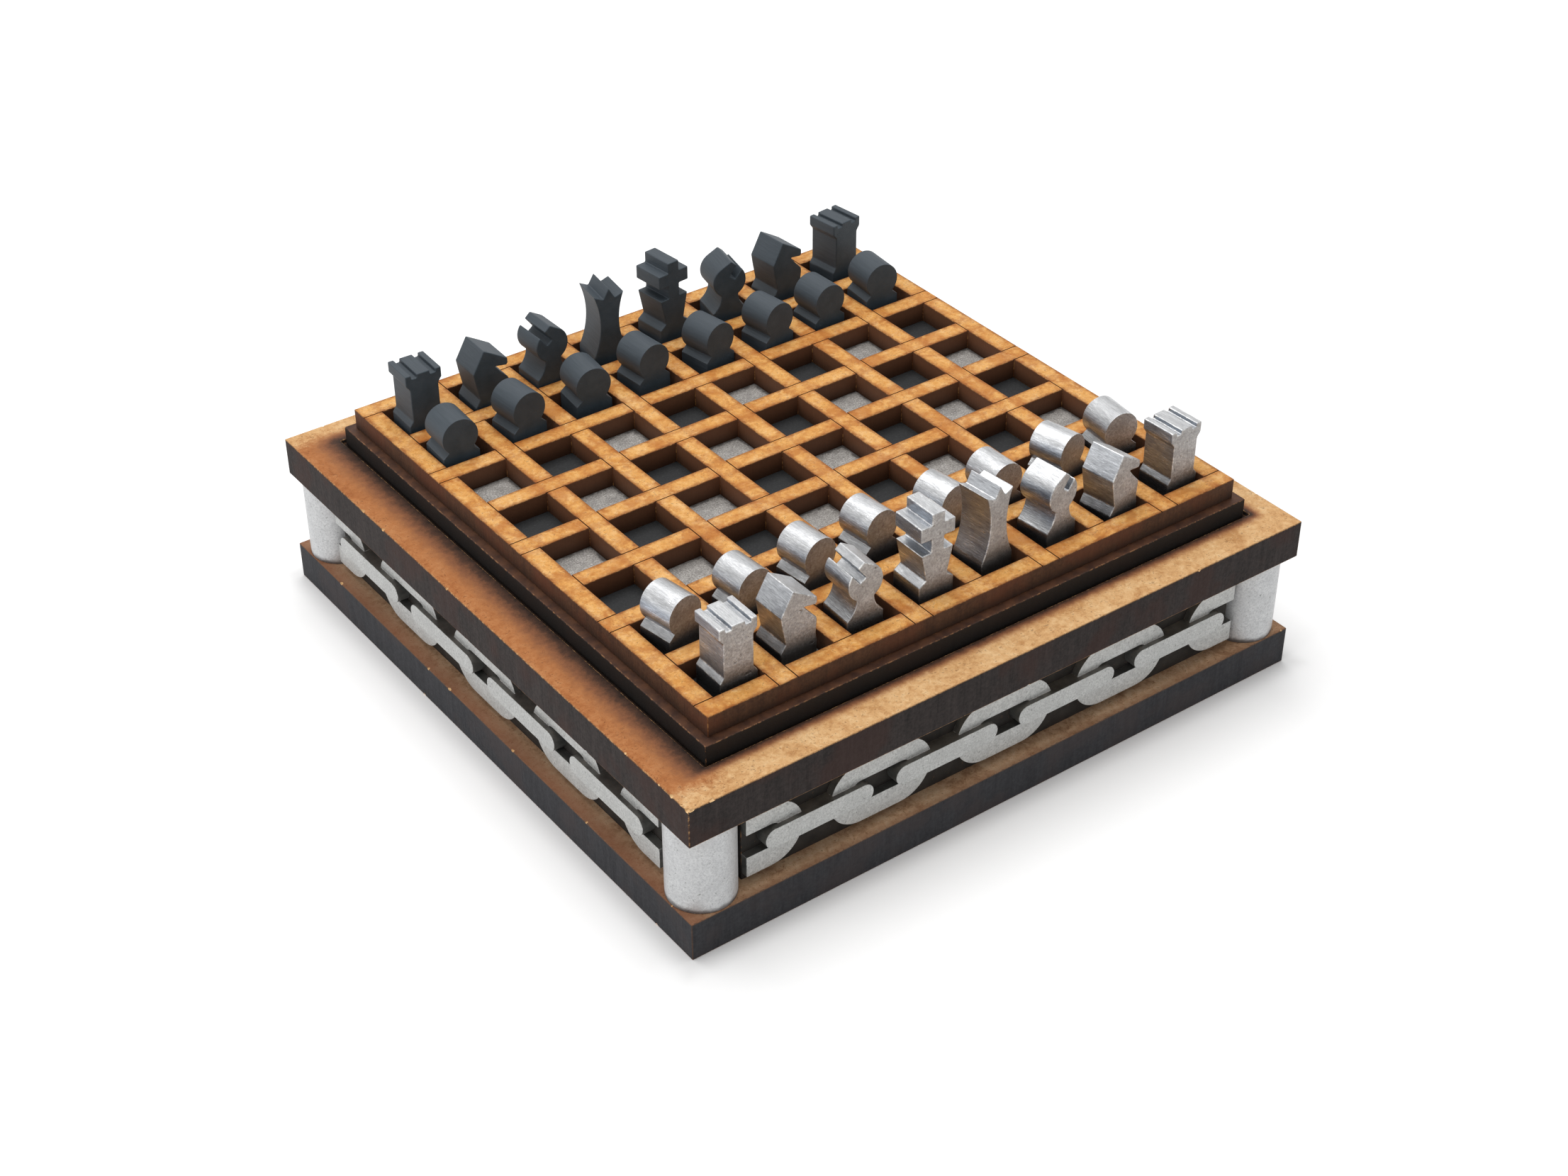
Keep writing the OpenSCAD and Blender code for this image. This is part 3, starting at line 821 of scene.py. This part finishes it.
def soften(obj, width):
    """Rounds the arrises as paint and sanding leave them, and notes which faces they are."""
    only(obj)
    bpy.ops.object.shade_smooth_by_angle(angle=ARRIS_ANGLE)
    # The last of the slots is for the rounded faces alone
    for _ in range(2):
        obj.data.materials.append(None)
    last = len(obj.data.materials) - 1
    apply_modifier(obj, "BEVEL", width=width * MM, segments=2, limit_method="ANGLE",
                   angle_limit=ARRIS_ANGLE, harden_normals=True, miter_outer="MITER_ARC",
                   material=last)
    noted = obj.data.attributes.new("arris", "FLOAT", "FACE")
    for face, value in zip(obj.data.polygons, noted.data):
        value.value = float(face.material_index == last)
        face.material_index = 0


def mark(obj, through, shift):
    """Notes on the mesh its own measures in millimetres, its cut walls and what faces up."""
    mesh = obj.data
    low = [min(v.co[i] for v in mesh.vertices) for i in range(3)]
    high = [max(v.co[i] for v in mesh.vertices) for i in range(3)]
    foot = Vector([(a + b) / 2 for a, b in zip(low, high)])
    foot.z = low[2]
    across = through.cross(UP)
    own = mesh.attributes.new("own_mm", "FLOAT_VECTOR", "POINT")
    for vertex, value in zip(mesh.vertices, own.data):
        off = (vertex.co - foot) / MM
        value.vector = (off.dot(across) + shift, off.dot(through), off.z)
    wall = mesh.attributes.new("cut_wall", "FLOAT", "FACE")
    for face, value in zip(mesh.polygons, wall.data):
        value.value = 1 - abs(face.normal.dot(through))
    upward = mesh.attributes.new("faces_up", "FLOAT", "CORNER")
    for corner, value in zip(mesh.corner_normals, upward.data):
        value.value = corner.vector.z


def settle(obj, node, kind, through, shift=0.0):
    """Marks and paints a rounded piece, and lets it stand for its node."""
    mark(obj, through, shift)
    obj.data.materials.clear()
    obj.data.materials.append(FINISHES[kind])
    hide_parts(node)
    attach(obj, frame["nodes"][node]["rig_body"])


def dress(node, kind, through, shift=0.0, close=CLOSE):
    """A node's own shape with rounded arrises, marked and painted."""
    obj = copy_of(node, node + "_" + WORKS[kind].ending, close)
    if through is None:
        # A chess piece stands turned, so its largest flat face gives the direction
        through = max(obj.data.polygons, key=lambda face: face.area).normal.copy()
    soften(obj, WORKS[kind].arris)
    settle(obj, node, kind, through, shift)
    return obj


# The lattice and the top plate, cut from sheets by hand

def new_sheet(name, size, x, y, z):
    """A square sheet with its top at a height, in metres, open for marking out."""
    bpy.ops.object.select_all(action="DESELECT")
    bpy.ops.mesh.primitive_plane_add(size=size, location=(x, y, z))
    obj = bpy.context.active_object
    obj.name = name
    bpy.ops.object.transform_apply(location=True, rotation=False, scale=True)
    bpy.ops.object.mode_set(mode="EDIT")
    return obj


def mark_out(axis, edge):
    """Splits the sheet's faces along a line, in millimetres."""
    bpy.ops.mesh.select_all(action="SELECT")
    bpy.ops.mesh.bisect(plane_co=axis * edge * MM, plane_no=axis)


def push(height):
    """Extrudes what is selected up or down."""
    bpy.ops.mesh.extrude_region_move(TRANSFORM_OT_translate={"value": (0, 0, height)})


def thicken(height):
    """Gives the marked-out sheet its thickness, with its faces turned outwards."""
    bpy.ops.mesh.select_all(action="SELECT")
    push(height)
    bpy.ops.mesh.select_all(action="SELECT")
    bpy.ops.mesh.normals_make_consistent(inside=False)


def choose(obj, wanted):
    """Selects the faces that are wanted, by their place, and goes on editing."""
    bpy.ops.mesh.select_mode(type="FACE")
    bpy.ops.mesh.select_all(action="DESELECT")
    bpy.ops.object.mode_set(mode="OBJECT")
    for face in obj.data.polygons:
        face.select = wanted(face)
    bpy.ops.object.mode_set(mode="EDIT")


def from_cell_middle(value, middle):
    """How far from the nearest cell's middle a place lies, in millimetres."""
    return abs((value - middle) % PITCH - PITCH / 2)


def cut_lattice():
    """A square sheet, marked out along every wall and cut free of its 64 cells."""
    low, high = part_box("board_lattice")
    obj = new_sheet("board_lattice_scored", LATTICE * MM, BOARD_X * MM, BOARD_Y * MM, high.z)
    for axis, middle in ((ACROSS, BOARD_X), (AWAY, BOARD_Y)):
        for i in range(CELLS):
            wall = middle + (i - CELLS / 2) * PITCH + STRIP / 2
            mark_out(axis, wall)
            mark_out(axis, wall + PITCH - STRIP)
    half_cell = (PITCH - STRIP) / 2
    choose(obj, lambda face: from_cell_middle(face.center.x / MM, BOARD_X) < half_cell
           and from_cell_middle(face.center.y / MM, BOARD_Y) < half_cell)
    bpy.ops.mesh.delete(type="FACE")
    thicken(low.z - high.z)
    bpy.ops.object.mode_set(mode="OBJECT")
    return obj


def cut_top_plate():
    """A square sheet with the board's pocket sunk into its top."""
    low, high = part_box("top_plate")
    pocket_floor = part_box("board_floor")[0].z
    obj = new_sheet("top_plate_board", high.x - low.x, 0, 0, high.z)
    for axis, middle in ((ACROSS, BOARD_X), (AWAY, BOARD_Y)):
        mark_out(axis, middle - POCKET / 2)
        mark_out(axis, middle + POCKET / 2)
    thicken(low.z - high.z)
    choose(obj, lambda face: face.center.z > high.z - 0.1 * MM
           and max(abs(face.center.x / MM - BOARD_X), abs(face.center.y / MM - BOARD_Y)) < 1)
    push(pocket_floor - high.z)
    bpy.ops.object.mode_set(mode="OBJECT")
    return obj


def score_lines():
    """The middle and the size of each score line, at both sides of the strip that seems
    to run over at a crossing, apart from those on the lattice's own edge."""
    board, long = (BOARD_X, BOARD_Y), STRIP + SCORE_OVERRUN
    for i in range(CELLS + 1):
        for j in range(CELLS + 1):
            x_strip_over = (i + j) % 2 == 0
            crossways = 1 if x_strip_over else 0
            size = (long, SCORE_WIDTH) if x_strip_over else (SCORE_WIDTH, long)
            for side in (-1, 1):
                middle = [BOARD_X + (i - CELLS / 2) * PITCH, BOARD_Y + (j - CELLS / 2) * PITCH]
                middle[crossways] += side * STRIP / 2
                if abs(middle[crossways] - board[crossways]) <= HALF_LATTICE - 1:
                    yield middle, size


def score_cutter():
    """Narrow bars over the lattice, where a score line goes in its top."""
    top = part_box("board_lattice")[1].z
    bars = []
    bpy.ops.object.select_all(action="DESELECT")
    for (x, y), (across, along) in score_lines():
        bpy.ops.mesh.primitive_cube_add(size=1, location=(x * MM, y * MM, top))
        bar = bpy.context.active_object
        bar.dimensions = (across * MM, along * MM, 2 * SCORE_DEPTH * MM)
        bpy.ops.object.transform_apply(location=True, rotation=False, scale=True)
        bars.append(bar)
    return join(bars, bars[-1])


# Chips in the arrises of the plates

def chip_cutter(spots, name):
    """Small rough lumps, one at each spot, that leave a chip where they cut."""
    chance = random.Random(7)
    lumps = []
    for x, y, z, size in spots:
        bpy.ops.object.select_all(action="DESELECT")
        bpy.ops.mesh.primitive_ico_sphere_add(subdivisions=2, radius=size * MM / 2,
                                              location=(x * MM, y * MM, z * MM))
        lump = bpy.context.active_object
        lump.scale = [chance.uniform(*CHIP_WIDTH), chance.uniform(*CHIP_WIDTH),
                      chance.uniform(*CHIP_HEIGHT)]
        bpy.ops.object.transform_apply(location=False, rotation=False, scale=True)
        bpy.ops.object.mode_set(mode="EDIT")
        bpy.ops.mesh.select_all(action="SELECT")
        bpy.ops.transform.vertex_random(offset=size * CHIP_ROUGHNESS * MM,
                                        seed=chance.randrange(1000))
        bpy.ops.object.mode_set(mode="OBJECT")
        lumps.append(lump)
    cutter = join(lumps, lumps[0])
    cutter.name = name
    cutter.data.materials.clear()
    cutter.data.materials.append(FINISHES["fresh_chip"])
    bpy.ops.object.transform_apply(location=True, rotation=False, scale=False)
    return cutter


def chip(obj, spots):
    """Takes the chips out of a finished piece, down to the fresh fibre."""
    cut_away(obj, chip_cutter(spots, obj.name + "_chips"), use_self=True,
             material_mode="TRANSFER")


def chips_along(chance, count, z, size):
    """Spots for chips on the arris of a plate, at a height."""
    spots = []
    for _ in range(count):
        along, side = chance.uniform(-HALF_PLATE, HALF_PLATE), chance.choice((-1, 1))
        edge = side * HALF_PLATE
        x, y = (along, edge) if chance.random() < 0.5 else (edge, along)
        spots.append((x, y, z, chance.uniform(*size)))
    return spots


# The parts of the box

def dress_plates():
    chance = random.Random(3)
    base = dress("base_plate", "base_plate", UP)
    upper = [spot for spot in chips_along(chance, 20, BASE_PLATE_TOP, CHIP)
             if abs(spot[0]) > BESIDE_DRAWERS]
    lower = chips_along(chance, 8, BASE_PLATE_BOTTOM, CHIP)
    chip(base, upper + lower)
    top = cut_top_plate()
    soften(top, WORKS["top_plate"].arris)
    settle(top, "top_plate", "top_plate", UP)
    # The near left corner is knocked off
    corner = [(-HALF_PLATE, -52.6, TOP_PLATE_TOP, 0.9), (-52.5, -HALF_PLATE, TOP_PLATE_TOP, 0.6),
              (-HALF_PLATE, -51.4, TOP_PLATE_TOP, 0.5)]
    upper = chips_along(chance, 26, TOP_PLATE_TOP, TOP_CHIP)
    lower = chips_along(chance, 10, TOP_PLATE_BOTTOM, CHIP)
    chip(top, corner + upper + lower)


def dress_board():
    dress("board_floor", "board_floor", UP)
    lattice = cut_lattice()
    soften(lattice, WORKS["lattice"].arris)
    cut_away(lattice, score_cutter())
    settle(lattice, "board_lattice", "lattice", UP)
    for slot in frame["nodes"]["silver_squares"].material_slots:
        slot.link = "OBJECT"
        slot.material = FINISHES["silver_square"]


def dress_sides():
    for place in ("front_left", "front_right", "back_left", "back_right"):
        dress("column_" + place, "column", UP)
    for side in ("left", "right"):
        dress(side + "_panel", "panel", ACROSS)
        dress(side + "_chain", "chain", ACROSS)
        dress(side + "_guide", "inner", ACROSS)
    dress("centre_divider", "inner", AWAY)


def dress_drawers():
    for drawer in ("front_drawer", "back_drawer"):
        dress(drawer + "_face", "panel", AWAY)
        dress(drawer + "_chain", "chain", AWAY)
        dress(drawer + "_floor", "inner", UP)
        dress(drawer + "_left_side", "inner", ACROSS)
        dress(drawer + "_right_side", "inner", ACROSS)
        dress(drawer + "_end", "inner", AWAY)


def dress_pieces():
    shift = 0.0
    for node in sorted(frame["nodes"]):
        side, figure = node.split("_")[:2]
        if figure in CHESS_PIECES:
            shift += PATTERN_STEP
            dress(node, side + "_piece", None, shift, CLOSE_ON_PIECE)


# Room, light and camera

def seen_directly(tree):
    """1 where the camera, a gloss or a glass looks, 0 for light on its way."""
    path = add(tree, "LightPath").outputs
    glossy_or_clear = larger(tree, path["Is Glossy Ray"], path["Is Transmission Ray"])
    return larger(tree, path["Is Camera Ray"], glossy_or_clear)


def make_floor():
    """A pale floor that keeps the box's shadow and is lost in white further off; beside the
    plates the glow is held back, which paints a contact shadow.
    """
    bpy.ops.mesh.primitive_plane_add(size=4, location=(0, 0, 0))
    obj = bpy.context.active_object
    obj.name = "pale_floor"
    made = bpy.data.materials.new("pale_floor_paper")
    tree = empty_tree(made)
    place = in_mm(tree)
    x, y, _ = split(tree, place)
    away = add(tree, "VectorMath", {0: place}, operation="LENGTH").outputs["Value"]
    # Painted contact shadow: the glow is held back under the plates and fades in over 4 mm past
    # them
    beside = larger(tree, unsigned(tree, x), unsigned(tree, y))
    strength = times(tree, ease(tree, away, *GLOW_GROWS, 0.15, 1.0),
                     ease(tree, beside, *GLOW_STARTS_PAST_PAINTED_SHADOW))
    bright = add(tree, "BsdfDiffuse", {"Color": WHITE})
    glow = add(tree, "Emission", {"Color": WHITE, "Strength": strength})
    seen = add(tree, "AddShader", {0: bright.outputs[0], 1: glow.outputs[0]})
    paper = add(tree, "BsdfDiffuse", {"Color": tone("f2f2f2")})
    mixed = add(tree, "MixShader", {0: seen_directly(tree), 1: paper.outputs[0],
                                    2: seen.outputs[0]})
    add(tree, "OutputMaterial", {0: mixed.outputs[0]})
    obj.data.materials.append(made)
    obj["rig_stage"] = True


def make_world():
    """White where it is looked at, and a dimmer light on the object."""
    world = bpy.data.worlds.new("studio")
    bpy.context.scene.world = world
    tree = empty_tree(world)
    room = add(tree, "Background", {"Color": WHITE, "Strength": 0.4})
    white = add(tree, "Background", {"Color": WHITE, "Strength": 1.0})
    mixed = add(tree, "MixShader", {0: seen_directly(tree), 1: room.outputs[0],
                                    2: white.outputs[0]})
    add(tree, "OutputWorld", {0: mixed.outputs[0]})


def make_lamp(name, place, size, power):
    """A square softbox that points at the middle of the box."""
    lamp = bpy.data.lights.new(name, "AREA")
    lamp.shape = "SQUARE"
    lamp.size = size
    lamp.energy = power
    obj = bpy.data.objects.new(name, lamp)
    bpy.context.scene.collection.objects.link(obj)
    obj.location = place
    box_middle = Vector((0, 0, 0.02))
    obj.rotation_euler = (box_middle - Vector(place)).to_track_quat("-Z", "Y").to_euler()


def make_light():
    make_world()
    make_lamp("overhead_softbox", place=(0.0, 0.1, 0.6), size=0.5, power=2.6)
    make_lamp("left_softbox", place=(-0.6, 0.0, 0.35), size=0.35, power=0.75)


def make_camera():
    """The camera as it was fitted to the photograph."""
    camera = bpy.data.cameras.new("photo_camera")
    camera.sensor_fit = "HORIZONTAL"
    camera.sensor_width = 36.0
    camera.lens = 56.676
    camera.clip_start = 0.01
    obj = bpy.data.objects.new("photo_camera", camera)
    bpy.context.scene.collection.objects.link(obj)
    obj.location = (-0.17904, -0.24344, 0.22084)
    obj.rotation_euler = [math.radians(a) for a in (54.504, 0.057, -36.466)]
    bpy.context.scene.camera = obj


def write_size():
    boxes = {"cad": cad_box, "visual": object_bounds()}
    plain = {name: [list(map(float, corner)) for corner in box] for name, box in boxes.items()}


make_camera()
dress_plates()
dress_board()
dress_sides()
dress_drawers()
dress_pieces()
make_floor()
make_light()
bpy.context.scene.view_settings.view_transform = "Standard"
write_size()
